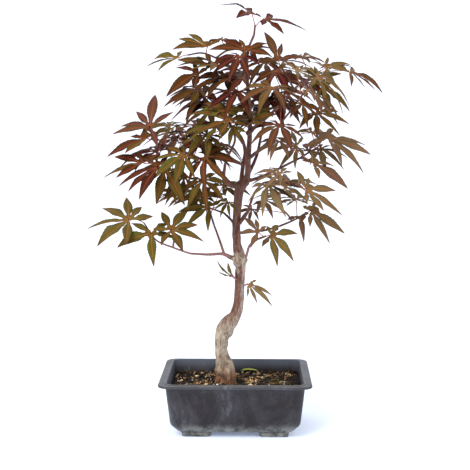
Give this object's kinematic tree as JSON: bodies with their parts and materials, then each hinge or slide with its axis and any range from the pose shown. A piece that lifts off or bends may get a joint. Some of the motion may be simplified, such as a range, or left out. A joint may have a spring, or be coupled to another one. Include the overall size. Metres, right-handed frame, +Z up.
{
  "type": "japanese maple bonsai",
  "caption": "Young Japanese maple grown as a bonsai: a slender curved trunk, side limbs with sprays of deeply cut palmate leaves, in a rectangular flanged pot on feet, filled with soil.",
  "frame": {"origin": "middle of the whole object's box, at the underside of the pot's feet", "axes": "+Z up, the way the trunk grows; -Y towards the picture's viewer; +X along the pot's long side, to the viewer's right"},
  "size_m": [0.294, 0.2046, 0.4255],
  "materials": {
    "pot": "matt dark grey, worn paler at the edges, dusty low down",
    "soil": "dark crumbly bark and peat with pale grit",
    "bark": "matt grey-beige bark, reddish brown higher up",
    "leaf": "satin, bronze brown to maroon with olive parts"
  },
  "bodies": {
    "root": {"pot": "pot", "soil": "soil", "trunk": "bark", "fallenLeaf": "leaf", "spray_crown": "leaf", "spray_upperLeft": "leaf", "spray_midLeft": "leaf", "spray_upperRight": "leaf", "spray_rightFront": "leaf", "spray_backCrown": "leaf", "spray_middle": "leaf", "spray_left": "leaf", "spray_backLeft": "leaf", "spray_secondTop": "leaf", "spray_right": "leaf", "spray_rightLow": "leaf", "spray_rightBack": "leaf", "spray_lowRight": "leaf", "spray_lowLeft": "leaf", "spray_leftRiser": "leaf", "spray_leftBack": "leaf", "spray_trunkLeft": "leaf", "spray_trunkRight": "leaf"}
  },
  "joints": []
}
